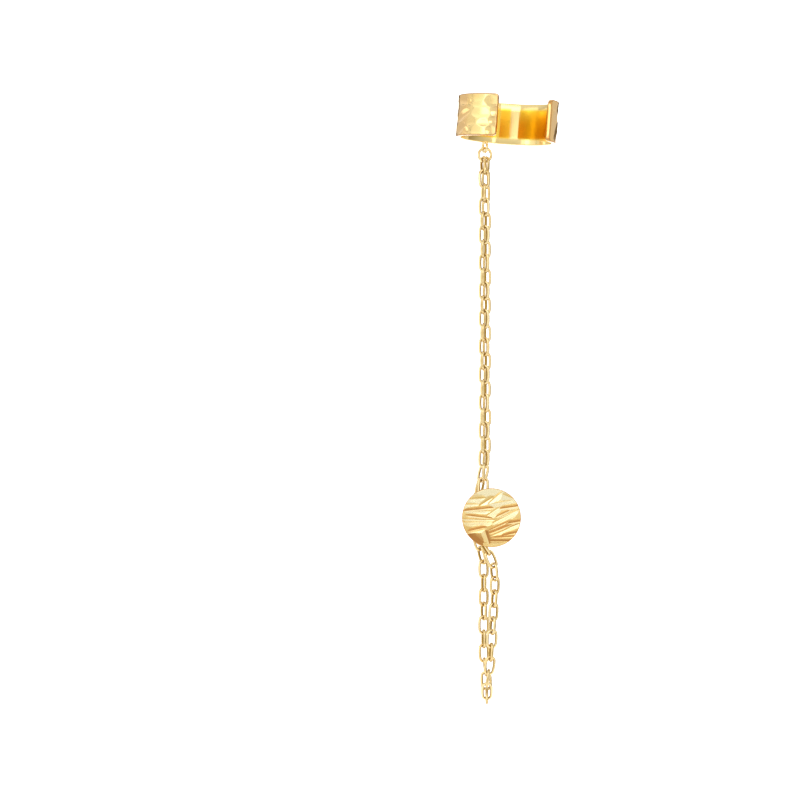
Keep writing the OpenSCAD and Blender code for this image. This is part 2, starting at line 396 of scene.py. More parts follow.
def turned_outwards(piece):
    """Turns the faces of a closed mesh so that they point outwards."""
    mesh = piece.data
    corners = np.zeros(len(mesh.vertices) * 3)
    mesh.vertices.foreach_get("co", corners)
    corners = corners.reshape(-1, 3)
    mesh.calc_loop_triangles()
    triangles = np.zeros(len(mesh.loop_triangles) * 3, dtype=np.int64)
    mesh.loop_triangles.foreach_get("vertices", triangles)
    a, b, c = (corners[triangles.reshape(-1, 3)[:, i]] for i in range(3))
    if np.einsum("ij,ij->i", a, np.cross(b, c)).sum() < 0:
        mesh.flip_normals()
    return piece


def loose_parts(node):
    """The loose solids of a node, each as an array of its corner points."""
    mesh = frame["nodes"][node].data
    corners = np.zeros(len(mesh.vertices) * 3)
    mesh.vertices.foreach_get("co", corners)
    _, merged = np.unique(np.round(corners.reshape(-1, 3) / (0.001 * MM)), axis=0, return_inverse=True)
    merged = merged.ravel()
    places = np.zeros((merged.max() + 1, 3))
    places[merged] = corners.reshape(-1, 3)
    part = np.arange(len(places))
    edges = np.zeros(len(mesh.edges) * 2, dtype=np.int64)
    mesh.edges.foreach_get("vertices", edges)
    edges = merged[edges.reshape(-1, 2)]
    while True:
        lowest = part.copy()
        np.minimum.at(lowest, edges[:, 0], part[edges[:, 1]])
        np.minimum.at(lowest, edges[:, 1], part[edges[:, 0]])
        lowest = lowest[lowest]
        if np.array_equal(lowest, part):
            return [places[part == name] for name in np.unique(part)]
        part = lowest


def link_turn(points):
    """The middle of a link and its turn: X across it, Y through its flat and Z along it."""
    middle = points.mean(axis=0)
    _, axes = np.linalg.eigh(np.cov((points - middle).T))
    along, across = axes[:, 2], axes[:, 1]
    turn = np.column_stack([across, np.cross(along, across), along])
    return middle, Matrix(turn.tolist()).to_euler()


# The hammered band: hammer marks that show from the front, as the direction and the height of each
# one's middle, its half width and half height, its turn and its share of the full depth.
# Directions and turns are degrees, heights are shares of half the band's height, and sizes are
# shares of the band's height.
FRONT_BLOWS = [
    (-111.5, 0.64, 0.203, 0.145, 0, 1.1),
    (-106.0, 0.16, 0.125, 0.125, -15, 0.9),
    (-108.0, -0.29, 0.13, 0.105, 10, 0.9),
    (-110.0, -0.77, 0.14, 0.12, -10, 1.0),
    (-120.0, -0.41, 0.177, 0.095, 0, 0.75),
    (-124.5, 0.06, 0.28, 0.125, 0, 0.6),
    (-125.5, 0.45, 0.24, 0.085, 0, 0.45),
    (-131.0, 0.83, 0.26, 0.15, 4, 0.6),
    (-129.5, -0.79, 0.29, 0.13, -3, 0.6),
    (-137.0, -0.38, 0.15, 0.12, 20, 0.5),
    (-142.0, 0.55, 0.11, 0.10, -40, 0.9),
    (-145.0, -0.83, 0.13, 0.11, -30, 0.9),
    (-155.0, 0.72, 0.22, 0.15, -10, 1.0),
    (-155.0, -0.06, 0.36, 0.12, 20, 1.0),
    (-160.0, -0.66, 0.30, 0.14, 16, 1.0),
    (-176.0, 0.40, 0.24, 0.15, -20, 0.45),
    (-180.0, -0.25, 0.22, 0.15, 10, 0.45),
]


# Height of the slight unevenness of the inside
INNER_WAVE = 0.004 * MM


def band_blows():
    """All hammer marks: those at the front, then rows that go round to the other end."""
    blows = [tuple(blow) for blow in FRONT_BLOWS]
    draw = np.random.default_rng(11)
    first, last, columns = 166.0, -30.0, 14
    for column in range(columns):
        for row in range(4):
            at = first + (last - first) * (column + 0.5 * (row % 2)) / columns
            up = (row - 1.5) * 0.5
            way, rise, size, tall, turn = draw.uniform(-1, 1, 5)
            wide, high, share = 0.23 + 0.05 * size, 0.16 + 0.035 * tall, 0.85 + 0.15 * size
            blows.append((at + 3.5 * way, up + 0.09 * rise, wide, high, 30 * turn, share))
    return blows


def blow_depth(cuff, around, up):
    """Depth of the hammered face, in metres, at directions around and heights up."""
    radius, half = cuff.diameter / 2, cuff.height / 2
    depth = np.zeros_like(around)
    for at, height, wide, high, turn, share in band_blows():
        away = (around - math.radians(at) + math.pi) % (2 * math.pi) - math.pi
        x, y = away * radius, up - height * half
        c, s = math.cos(math.radians(turn)), math.sin(math.radians(turn))
        a = (x * c + y * s) / (wide * cuff.height)
        b = (y * c - x * s) / (high * cuff.height)
        depth = np.maximum(depth, cuff.blow * share * (1 - a * a - b * b))
    return depth


def hollow_growth(cuff, around):
    """How far the inside lies beyond its round where the bending left it flat."""
    begin, end, fade, facing = 73.0, 98.0, 115.0, 84.0
    at = math.degrees(around) % 360
    if not begin < at < fade:
        return 0.0
    radius = cuff.diameter / 2 - cuff.wall
    flat = math.cos(math.radians(facing - begin)) / math.cos(math.radians(min(at, end) - facing)) - 1
    left = min(1.0, (fade - at) / (fade - end))
    return radius * flat * left * left * (3 - 2 * left)


def band_section(cuff, half, inset, sides, growth):
    """One section of the band as rows of radius, height and share of the hammering."""
    shrink, flare_from, flare_over = 0.8, 0.68, 0.32
    edge = cuff.edge - shrink * inset
    outer, inner = cuff.diameter / 2 - inset, cuff.diameter / 2 - cuff.wall + inset + growth
    top = half - inset - edge
    quarter = np.radians([22.5, 45, 67.5])
    out_c, out_s = np.cos(quarter) * edge, np.sin(quarter) * edge
    rise = np.linspace(-top, top, sides)
    fall = np.linspace(top, -top, sides // 2)
    lower = -out_s[::-1], out_c[::-1]
    reach = np.clip((np.abs(fall) - flare_from * top) / (flare_over * top), 0, 1)
    lip = inner + cuff.flare
    radius = np.concatenate([np.full(sides, outer), outer - edge + out_c, lip + edge - out_s,
                             inner + cuff.flare * reach ** 1.5, lip + edge - lower[1][::-1],
                             outer - edge - lower[0][::-1]])
    height = np.concatenate([rise, top + out_s, top + out_c, fall, -top - out_s, -top - out_c])
    share = np.clip((radius - (outer - edge)) / edge, 0, 1)
    # Painted shade along the band's rounded top and bottom edges
    rim = np.zeros(len(radius))
    rim[sides:sides + 3] = rim[-3:] = 1.0
    return radius, height, share, rim


def fade_in(value, begin, end):
    """Rises smoothly from 0 at begin to 1 at end."""
    share = np.clip((value - begin) / (end - begin), 0, 1)
    return share * share * (3 - 2 * share)


def band_tones(around):
    """How much painted shade in tan the band's outside gets at a direction, and how much painted reflection
    in amber its inside gets there.
    """
    # Degrees: the front is painted palest in its middle with painted shade in tan to each side, and a painted
    # highlight runs down the inside at the back as a pale band
    at = (math.degrees(around) + 180) % 360 - 180
    warm = max(fade_in(at, -134.0, -150.0) if at < 0 else 1.0, fade_in(at, -114.0, -104.0))
    inside_highlight = fade_in(at, 86.0, 82.5) * fade_in(at, 70.5, 74.0)
    return warm, 1 - 0.92 * inside_highlight


def band_rows(cuff):
    """Rows of the band from end to end: distance from the first end, half height, inset, painted shade."""
    length = (2 * math.pi - cuff.opening) * cuff.diameter / 2
    # Painted shade on the rounded corners at the band's ends
    round_edge = [(cuff.edge * (1 - math.cos(a)), cuff.edge * (1 - math.sin(a)), painted_dark)
                  for a, painted_dark in zip(np.radians([0, 22.5, 45, 67.5]), (0.2, 1.0, 1.0, 0.6))]
    corner = [(cuff.corner * (1 - math.cos(a)), 0.0, 0.0) for a in np.radians([44, 52, 60, 68, 76, 84])]
    middle = np.arange(cuff.corner, length / 2, cuff.step)
    first = round_edge + corner + [(s, 0.0, 0.0) for s in middle]
    rows = []
    for s, inset, painted_dark in first:
        short = max(0.0, cuff.corner - s)
        drop = cuff.corner - math.sqrt(cuff.corner ** 2 - short ** 2)
        rows.append((s, cuff.height / 2 - drop, inset, painted_dark))
    return rows + [(length - s, half, inset, painted_dark) for s, half, inset, painted_dark in reversed(rows)]


class EARRING_OT_cuff_band(bpy.types.Operator):
    """Make the hammered band of the cuff"""
    bl_idname = "earring.cuff_band"
    bl_label = "Cuff Band"

    def execute(self, context):
        cuff = context.scene.earring_cuff
        sides = 3 * round(cuff.height / cuff.step / 3)
        start = cuff.opening_at + cuff.opening / 2
        plain_rim, fading = 0.45 * MM, 0.25 * MM
        points, depths, insides, painted_edge_shades, painted_side_shades, columns = [], [], [], [], [], 0
        for s, half, inset, painted_dark in band_rows(cuff):
            at = start + s / (cuff.diameter / 2)
            radius, height, share, rim = band_section(cuff, half, inset, sides, hollow_growth(cuff, at))
            around = np.full(len(radius), at)
            depth = blow_depth(cuff, around, height) * share
            wave = INNER_WAVE * np.sin(3.1 * around + 1200 * height) * (1 - share)
            columns = len(radius)
            reach = radius - depth + wave
            points.append(np.column_stack([reach * np.cos(around), reach * np.sin(around), height]))
            depths.append(depth / cuff.blow)
            # Painted shade along the edges and at the ends
            painted_edge_shades.append(np.maximum(rim, painted_dark))
            # Painted shade in tan on the outside, painted reflection in amber inside
            warm, amber = band_tones(at)
            painted_side_shades.append(np.where(radius > (cuff.diameter - cuff.wall) / 2, warm, 0))
            # Painted reflection in amber on the inside, fading out towards the top and bottom edges and at
            # the painted highlight
            hollow = np.clip((cuff.diameter / 2 - cuff.wall / 2 - radius) / (cuff.wall / 2), 0, 1)
            level = np.clip((cuff.height / 2 - plain_rim - np.abs(height)) / fading, 0, 1)
            insides.append(hollow * level * amber)
        points = np.concatenate(points) @ np.array(Matrix.Rotation(cuff.lean, 3, "Y")).T
        faces = capped(points, tube_faces(len(points) // columns, columns, False), columns)
        band = new_piece("cuff_band", points, faces, "hammered_gold", 40,
                         {"depth": np.concatenate(depths), "inside": np.concatenate(insides),
                          "rim": np.concatenate(painted_edge_shades), "warm": np.concatenate(painted_side_shades)})
        finish_piece(turned_outwards(band), "hammered_gold", "ear_cuff")
        return {"FINISHED"}


# Rings, solder and links

def ring_mesh(middle, flat, radius, wire, start=0.0, stop=2 * math.pi, steps=96, sides=20):
    """Points and faces of a round of wire. Flat holds two directions that span its plane."""
    one, two = (np.array(direction, float) for direction in flat)
    square = np.cross(one, two)
    whole = stop - start > 2 * math.pi - 0.001
    along = np.linspace(start, stop, steps, endpoint=not whole)
    section = np.linspace(0, 2 * math.pi, sides, endpoint=False)
    points = []
    for t in along:
        out = math.cos(t) * one + math.sin(t) * two
        for q in section:
            points.append(np.array(middle) + out * (radius + wire / 2 * math.cos(q))
                          + square * (wire / 2 * math.sin(q)))
    faces = tube_faces(steps, sides, whole)
    return points, faces if whole else capped(points, faces, sides)


def blob_mesh(middle, turn, sizes, steps=32, rings=16):
    """Points and faces of a drop of solder: a ball with three half sizes, turned about Z."""
    points = [(0, 0, -1)]
    for i in range(1, rings):
        tilt = math.pi * (i / rings - 0.5)
        points += [(math.cos(tilt) * math.cos(a), math.cos(tilt) * math.sin(a), math.sin(tilt))
                   for a in np.linspace(0, 2 * math.pi, steps, endpoint=False)]
    points.append((0, 0, 1))
    placed = np.array(points) * np.array(sizes) @ np.array(Matrix.Rotation(turn, 3, "Z")).T
    return list(placed + np.array(middle)), closed_faces(rings - 1, steps)


def joined(*parts):
    """Several lists of points and faces as one."""
    points, faces = [], []
    for more_points, more_faces in parts:
        faces += [tuple(i + len(points) for i in face) for face in more_faces]
        points += list(more_points)
    return points, faces


class EARRING_OT_rings(bpy.types.Operator):
    """Make the ring soldered under the cuff and the loose ring on it"""
    bl_idname = "earring.rings"
    bl_label = "Rings"

    def execute(self, context):
        wire, cuff = context.scene.earring_wire, context.scene.earring_cuff
        c, s = math.cos(wire.ring_turn), math.sin(wire.ring_turn)
        up, out, along = (0, 0, 1), (c, s, 0), (s, -c, 0)
        middle_radius = (cuff.diameter - cuff.wall) / 2
        under = Vector((middle_radius * c, middle_radius * s, -cuff.height / 2))
        rim = Matrix.Rotation(cuff.lean, 3, "Y") @ under
        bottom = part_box("ear_cuff")[0].z
        radius = (rim.z + wire.ring_wire / 4 - bottom - wire.ring_wire / 2) / 2
        hang = Vector((rim.x, rim.y, bottom + wire.ring_wire / 2 + radius))
        ring = ring_mesh(hang, (out, up), radius, wire.ring_wire)
        rise, drop_size = Vector((0, 0, 0.04 * MM)), (0.4 * MM, 0.27 * MM, 0.16 * MM)
        solder = blob_mesh(rim + rise, wire.ring_turn, drop_size)
        soldered = new_piece("cuff_ring", *joined(ring, solder), "polished_gold", 60)
        finish_piece(soldered, "polished_gold", "ear_cuff")

        low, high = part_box("top_ring")
        radius = (high.z - low.z - wire.ring_wire) / 2
        seam = wire.seam / radius / 2
        loose = ring_mesh((low + high) / 2, (up, along), radius, wire.ring_wire,
                          seam, 2 * math.pi - seam, 97)
        jump = new_piece("jump_ring", *loose, "polished_gold", 60)
        finish_piece(turned_outwards(jump), "polished_gold", "top_ring")
        return {"FINISHED"}


def link_tree():
    """A geometry tree that puts one oval link of wire on each point."""
    tree = bpy.data.node_groups.new("links", "GeometryNodeTree")
    for name, kind in {"Geometry": "NodeSocketGeometry", "Wire": "NodeSocketFloat",
                       "Half width": "NodeSocketFloat", "Half length": "NodeSocketFloat",
                       "Steps": "NodeSocketInt", "Sides": "NodeSocketInt",
                       "Material": "NodeSocketMaterial"}.items():
        tree.interface.new_socket(name, in_out="INPUT", socket_type=kind)
    tree.interface.new_socket("Geometry", in_out="OUTPUT", socket_type="NodeSocketGeometry")
    graph = Graph(tree)
    given = graph.add("NodeGroupInput")
    half_w, half_l = given.other("Half width"), given.other("Half length")
    loop = graph.add("GeometryNodeCurvePrimitiveCircle", None,
                     {"Resolution": given.other("Steps"), "Radius": 1.0})
    place = graph.add("ShaderNodeSeparateXYZ", None, {"Vector": graph.add("GeometryNodeInputPosition")})
    side_share, end_share = 0.6, 0.95
    end_r = half_w * end_share
    height = (place.other("Y") / side_share).math("MINIMUM", 1.0).math("MAXIMUM", -1.0)
    long = place.other("Y") * end_r + (half_l - end_r) * (height * (math.pi / 2)).math("SINE")
    shape = graph.add("ShaderNodeCombineXYZ", None, {"X": place * half_w, "Z": long})
    line = graph.add("GeometryNodeSetPosition", None, {"Geometry": loop, "Position": shape})
    line = graph.add("GeometryNodeStoreNamedAttribute", {"data_type": "FLOAT_VECTOR", "domain": "POINT"},
                     {"Geometry": line, "Name": "line", "Value": graph.add("GeometryNodeInputPosition")})
    section = graph.add("GeometryNodeCurvePrimitiveCircle", None,
                        {"Resolution": given.other("Sides"), "Radius": given.other("Wire") * 0.5})
    link = graph.add("GeometryNodeCurveToMesh", None, {"Curve": line, "Profile Curve": section})
    kept = graph.add("GeometryNodeInputNamedAttribute", {"data_type": "FLOAT_VECTOR"}, {"Name": "line"})
    # How far each point of the wire faces the middle of its link, which the gold uses to paint shade
    off = graph.vector("SUBTRACT", kept, graph.add("GeometryNodeInputPosition"))
    here = graph.vector("NORMALIZE", kept)
    inner = graph.vector("DOT_PRODUCT", here, graph.vector("NORMALIZE", off), "Value")
    link = graph.add("GeometryNodeStoreNamedAttribute", {"data_type": "FLOAT", "domain": "POINT"},
                     {"Geometry": link, "Name": "inner", "Value": inner})
    smooth = graph.add("GeometryNodeSetShadeSmooth", None, {"Geometry": link})
    turn = graph.add("GeometryNodeInputNamedAttribute", {"data_type": "FLOAT_VECTOR"}, {"Name": "turn"})
    rotation = graph.add("FunctionNodeEulerToRotation", None, {"Euler": turn})
    chain = graph.add("GeometryNodeInstanceOnPoints", None,
                      {"Points": given, "Instance": smooth, "Rotation": rotation})
    real = graph.add("GeometryNodeRealizeInstances", None, {"Geometry": chain})
    gold = graph.add("GeometryNodeSetMaterial", None, {"Geometry": real, "Material": given.other("Material")})
    graph.add("NodeGroupOutput", None, {"Geometry": gold})
    return tree


def set_input(modifier, name, value):
    """Sets one of a modifier's inputs by its socket's identifier."""
    for item in modifier.node_group.interface.items_tree:
        if item.in_out == "INPUT" and item.name == name:
            modifier[item.identifier] = value
            return
    raise ValueError("the tree has no input named " + name)


def chain_piece(name, node, tree, wire):
    """A chain as one plain mesh, with a link where each solid of the node is."""
    links = [link_turn(points) for points in loose_parts(node)]
    mesh = bpy.data.meshes.new(name)
    mesh.from_pydata([tuple(middle) for middle, _ in links], [], [])
    turns = np.array([tuple(turn) for _, turn in links])
    tints = np.random.default_rng(5).uniform(0, 1, len(links))
    mesh.attributes.new("turn", "FLOAT_VECTOR", "POINT").data.foreach_set("vector", turns.ravel())
    mesh.attributes.new("tint", "FLOAT", "POINT").data.foreach_set("value", tints)
    points = bpy.data.objects.new(name + "_points", mesh)
    bpy.context.scene.collection.objects.link(points)
    modifier = points.modifiers.new("links", "NODES")
    modifier.node_group = tree
    set_input(modifier, "Wire", wire.link_wire)
    set_input(modifier, "Half width", (wire.link_width - wire.link_wire) / 2)
    set_input(modifier, "Half length", (wire.link_length - wire.link_wire) / 2)
    set_input(modifier, "Steps", wire.link_steps)
    set_input(modifier, "Sides", wire.wire_sides)
    set_input(modifier, "Material", material_of("polished_gold"))
    evaluated = points.evaluated_get(bpy.context.evaluated_depsgraph_get())
    chain = bpy.data.objects.new(name, bpy.data.meshes.new_from_object(evaluated))
    points.modifiers.remove(modifier)
    bpy.data.objects.remove(points)
    bpy.context.scene.collection.objects.link(chain)
    return turned_outwards(chain)


class EARRING_OT_chains(bpy.types.Operator):
    """Make the two chains"""
    bl_idname = "earring.chains"
    bl_label = "Chains"

    def execute(self, context):
        tree = link_tree()
        for name, node in {"stud_chain_links": "stud_chain", "loop_chain_links": "loop_chain"}.items():
            chain = chain_piece(name, node, tree, context.scene.earring_wire)
            finish_piece(chain, "polished_gold", node)
        return {"FINISHED"}


# The disc's face: cuts of the tool, as the place of each one's middle to the right and up, its
# half length and half width, its slope, its depth, how far its deepest line lies above its middle
# and how strong its fine lines are. Places and sizes are shares of the disc's radius, slopes are
# degrees and depths are shares of a full cut.
FACE_CUTS = [
    (-0.02, 0.87, 0.55, 0.15, 0, 0.30, 0.8, 0.3),
    (-0.52, 0.60, 0.34, 0.17, 4, 0.40, 0.3, 1.0),
    (-0.18, 0.58, 0.32, 0.10, 32, 0.50, -0.4, 0.6),
    (0.16, 0.66, 0.34, 0.09, 40, 0.60, 0.5, 0.8),
    (0.58, 0.66, 0.34, 0.13, -22, 0.35, 0.4, 0.6),
    (0.38, 0.47, 0.50, 0.09, 10, 0.35, 0.9, 0.3),
    (-0.72, 0.42, 0.30, 0.08, 0, 0.45, 0.5, 1.0),
    (-0.44, 0.32, 0.50, 0.075, 6, 1.00, -0.6, 0.8),
    (0.62, 0.38, 0.36, 0.075, 8, 1.00, -0.5, 0.8),
    (-0.42, 0.19, 0.48, 0.065, 0, 0.50, 0.6, 1.0),
    (-0.42, 0.05, 0.46, 0.065, -7, 0.85, -0.4, 1.0),
    (0.08, 0.15, 0.30, 0.10, 34, 0.40, 0.8, 0.8),
    (0.38, 0.15, 0.26, 0.055, 26, 1.00, -0.3, 0.5),
    (0.60, 0.10, 0.36, 0.08, 22, 0.45, 0.6, 0.8),
    (0.47, -0.03, 0.50, 0.085, 27, 0.40, 0.8, 0.8),
    (-0.45, -0.08, 0.54, 0.06, -2, 0.55, 0.5, 1.0),
    (-0.46, -0.21, 0.52, 0.075, 0, 0.45, 0.9, 0.8),
    (0.74, -0.13, 0.30, 0.075, 10, 0.95, -0.5, 0.8),
    (0.30, -0.24, 0.42, 0.05, 24, 0.80, -0.3, 0.6),
    (0.29, -0.36, 0.44, 0.065, 22, 1.20, -0.4, 0.5),
    (0.70, -0.32, 0.34, 0.07, 20, 0.50, 0.5, 0.9),
    (0.36, -0.49, 0.44, 0.065, 23, 0.55, 0.7, 1.0),
    (-0.48, -0.36, 0.32, 0.065, 12, 0.95, -0.5, 0.5),
    (-0.50, -0.48, 0.36, 0.055, 12, 0.60, 0.8, 1.0),
    (0.62, -0.53, 0.32, 0.06, 12, 0.85, -0.5, 0.7),
    (0.38, -0.64, 0.40, 0.05, 3, 1.00, -0.3, 0.7),
    (-0.52, -0.72, 0.34, 0.20, -38, 0.80, -0.5, 0.0),
    (-0.17, -0.68, 0.28, 0.13, -72, 0.70, 0.3, 0.1),
    (0.26, -0.77, 0.50, 0.075, 0, 0.60, -0.4, 1.0),
    (0.06, -0.93, 0.50, 0.10, 0, 0.40, 0.9, 0.2),
]


def softened(values):
    """Values on the square grid of points, each averaged with its neighbours."""
    width = math.isqrt(len(values))
    grid = values.reshape(width, width)
    for axis in (0, 1):
        edge = np.pad(grid, [(1, 1) if axis == i else (0, 0) for i in (0, 1)], "edge")
        grid = (edge.take(range(width), axis) + 2 * grid + edge.take(range(2, width + 2), axis)) / 4
    return grid.ravel()


def face_relief(stud, radius, right, up):
    """Depth of the cut face, how far across and along its cut each point lies, and its painted shade."""
    longer, keel_share, fall, before, after = 1.06, 0.65, 0.75, 0.1, 0.06
    uncut_shade, lit_shade, least_shade, deep_shade, lower_shade = 0.42, 0.12, 0.3, 0.85, 0.28
    depth, tool = np.zeros_like(right), np.zeros((len(right), 3))
    lines, shade = np.zeros_like(right), np.full_like(right, uncut_shade)
    for index, (x, y, long, wide, slope, deep, tip, lined) in enumerate(FACE_CUTS):
        c, s = math.cos(math.radians(slope)), math.sin(math.radians(slope))
        dx, dy = right / radius - x, up / radius - y
        along, across = dx * c + dy * s, dy * c - dx * s
        a, b = along / (longer * long), across / (stud.spread * wide)
        keel = keel_share * tip
        flank = np.where(b < keel, (b + 1) / (1 + keel), (1 - b) / (1 - keel))
        cut = stud.cut * deep * (flank - a ** 4)
        won = cut > depth
        depth = np.where(won, cut, depth)
        lines = np.where(won, lined, lines)
        # Painted shade: the side of a cut that faces down is painted browner, most near its deepest line and
        # fading towards its upper edge, and the side that faces up gets a painted highlight
        fading = 1 - fall * np.clip((b - keel) / (1 - keel), 0, 1)
        full = least_shade + deep_shade * min(1.0, deep)
        painted_dark = lit_shade + full * fading * fade_in(b, keel - before, keel + after)
        shade = np.where(won, painted_dark, shade)
        tool[won] = np.column_stack([across, along, np.full(len(across), index * 0.37)])[won] * [
            radius / MM, radius / MM, 1]
    # Two waves of unequal length, so that no two lines are alike
    turns = 2 * math.pi * tool[:, 0] * MM / stud.line_pitch
    ripple = np.sin(turns + 0.8 * np.sin(0.37 * turns)) + 0.6 * np.sin(1.71 * turns + 2 * tool[:, 2])
    # Painted shade grows towards the bottom of the disc and lessens towards its top
    return depth + stud.line * lines * ripple, tool, softened(shade) - lower_shade * up / radius


def round_grid(steps):
    """A square grid of points drawn into a round one of radius 1, and its faces."""
    line = np.linspace(-1, 1, steps + 1)
    a, b = (part.ravel() for part in np.meshgrid(line, line))
    wide = np.abs(a) > np.abs(b)
    radius = np.where(wide, a, b)
    safe = np.where(np.abs(radius) < 1e-9, 1.0, radius)
    angle = np.where(wide, b / safe * math.pi / 4, math.pi / 2 - a / safe * math.pi / 4)
    width = steps + 1
    faces = []
    for row in range(steps):
        for i in range(row * width, row * width + steps):
            faces.append((i, i + 1, i + width + 1, i + width))
    edge = ([i for i in range(steps)] + [steps + j * width for j in range(steps)]
            + [steps * width + steps - i for i in range(steps)] + [(steps - j) * width for j in range(steps)])
    return radius * np.cos(angle), radius * np.sin(angle), faces, edge


class EARRING_OT_disc(bpy.types.Operator):
    """Make the disc with its cut face"""
    bl_idname = "earring.disc"
    bl_label = "Disc"

    def execute(self, context):
        stud = context.scene.earring_stud
        low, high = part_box("disc_stud")
        radius, middle_x, middle_z = (high.x - low.x) / 2, (high.x + low.x) / 2, (high.z + low.z) / 2
        face_r = radius - stud.edge
        across, up, faces, edge = round_grid(stud.steps)
        depth, tool, shade = face_relief(stud, radius, across * face_r, up * face_r)
        points = [np.column_stack([across * face_r, depth, up * face_r])]
        out = points[0][edge]
        out_way = out * [1, 0, 1] / face_r
        rim = [(stud.edge * math.sin(a), stud.edge * (1 - math.cos(a))) for a in np.radians([30, 60, 90])]
        back = stud.thickness
        for grow, sink in rim:
            points.append(out + out_way * grow + [0, sink, 0])
        bevel = [(stud.edge, back - stud.edge), (stud.edge * 0.7, back - stud.edge * 0.3), (0, back)]
        for grow, place in bevel:
            points.append(out * [1, 0, 1] + out_way * grow + [0, place, 0])
        count, columns = len(points[0]), len(edge)
        rows = [list(edge)] + [list(range(count + k * columns, count + (k + 1) * columns))
                                for k in range(len(rim) + len(bevel))]
        for here, there in zip(rows, rows[1:]):
            for j in range(columns):
                k = (j + 1) % columns
                faces.append((here[k], here[j], there[j], there[k]))
        faces.append(tuple(rows[-1]))
        points = np.concatenate(points) + [middle_x, low.y, middle_z]
        extra = points[count:, [0, 2, 1]] / MM
        # Painted shade: the disc's rim is painted fully shaded, the back a plain middle tone
        rim_shade, back_shade = 1.0, 0.4
        shades = np.concatenate([shade, np.full(len(rim) * columns, rim_shade),
                                 np.full(len(bevel) * columns, back_shade)])
        disc = new_piece("disc", points, faces, "cut_gold", 50, {"shade": shades},
                         {"cut": np.concatenate([tool, extra])})
        finish_piece(turned_outwards(disc), "cut_gold", "disc_stud")
        return {"FINISHED"}


def turned_mesh(profile, foot, steps=64):
    """Points and faces of a profile of radius and distance, turned about a line along +Y."""
    points = [(0, profile[0][1], 0)]
    for radius, place in profile:
        points += [(radius * math.cos(a), place, radius * math.sin(a))
                   for a in np.linspace(0, 2 * math.pi, steps, endpoint=False)]
    points.append((0, profile[-1][1], 0))
    return list(np.array(points) + np.array(foot)), closed_faces(len(profile), steps)


class EARRING_OT_post(bpy.types.Operator):
    """Make the ear post and the ring on the disc's back"""
    bl_idname = "earring.post"
    bl_label = "Post"

    def execute(self, context):
        stud, wire = context.scene.earring_stud, context.scene.earring_wire
        low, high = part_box("disc_stud")
        mount = next(m for m in frame["record"]["mounts"] if m["name"] == "post")
        radius = mount["dims"]["r_mm"] * MM
        side, level = mount["pos_m"][0], mount["pos_m"][2]
        back = low.y + stud.thickness
        fillet, tip = 0.22 * MM, radius
        profile = [(radius + fillet, -0.5 * stud.thickness), (radius + fillet, 0.01 * MM)]
        profile += [(radius + fillet * (1 - math.sin(a)), fillet * (1 - math.cos(a)))
                    for a in np.radians([15, 30, 45, 60, 75, 90])]
        length = high.y - back
        profile += [(radius, length - tip)]
        profile += [(radius * (0.5 + 0.5 * math.cos(a)), length - tip * (1 - math.sin(a)))
                    for a in np.radians([20, 40, 60, 75])]
        profile += [(radius * 0.5, length - 0.06 * tip), (radius * 0.42, length)]
        post = new_piece("ear_post", *turned_mesh(profile, (side, back, level)), "polished_gold", 35)
        finish_piece(turned_outwards(post), "polished_gold", "disc_stud")

        body = np.concatenate(loose_parts("disc_stud"))
        clear = np.hypot(body[:, 0] - side, body[:, 2] - level) > radius + 0.2 * MM
        ring = body[clear & (body[:, 1] > back + 0.02 * MM)]
        left, right = ring[:, 0].min(), ring[:, 0].max()
        ring_r = (right - left - wire.ring_wire) / 2
        middle = Vector(((left + right) / 2, ring[:, 1].max() - ring_r - wire.ring_wire / 2,
                         (ring[:, 2].min() + ring[:, 2].max()) / 2))
        foot = math.asin((middle.y - back + 0.12 * MM) / ring_r)
        arc = ring_mesh(middle, ((1, 0, 0), (0, 1, 0)), ring_r, wire.ring_wire, -foot, math.pi + foot, 72)
        reach = math.sqrt(ring_r ** 2 - (middle.y - back) ** 2)
        drops = [blob_mesh((middle.x + way * reach, back, middle.z), 0, (0.26 * MM, 0.12 * MM, 0.24 * MM))
                 for way in (-1, 1)]
        loop = new_piece("disc_ring", *joined(arc, *drops), "polished_gold", 60)
        finish_piece(loop, "polished_gold", "disc_stud")
        return {"FINISHED"}


# Stage

def sweep_mesh(stage):
    """A pale sheet that lies on the floor and curves up behind the piece."""
    bend, wall, half_width, front, top = 0.1, 0.48, 0.125, -0.1, 0.09
    line = [(front, stage.floor_level), (wall - bend, stage.floor_level)]
    line += [(wall - bend + bend * math.sin(a), stage.floor_level + bend * (1 - math.cos(a)))
             for a in np.radians(range(10, 91, 10))]
    line.append((wall, top))
    points = [(x, y, z) for y, z in line for x in (-half_width, half_width)]
    faces = [(2 * i, 2 * i + 1, 2 * i + 3, 2 * i + 2) for i in range(len(line) - 1)]
    return points, faces


def paper_material():
    material, graph = new_material("pale_paper")
    place = graph.add("ShaderNodeTexCoord", output="Object")
    grain = graph.noise(place, 300.0, 3.0)
    colour = graph.mix(grain, grey(0.93), grey(0.97))
    away = graph.add("ShaderNodeSeparateXYZ", None, {"Vector": place}).other("Y") * 10 - 1
    far = away.math("MAXIMUM", 0.0).math("MINIMUM", 1.0)
    glow = graph.mix(far, grey(0.35), grey(1.0))
    paper = {"Base Color": colour, "Roughness": 0.9, "Emission Color": glow, "Emission Strength": 0.7}
    shader = graph.add("ShaderNodeBsdfPrincipled", None, paper)
    graph.add("ShaderNodeOutputMaterial", None, {"Surface": shader})
    return material


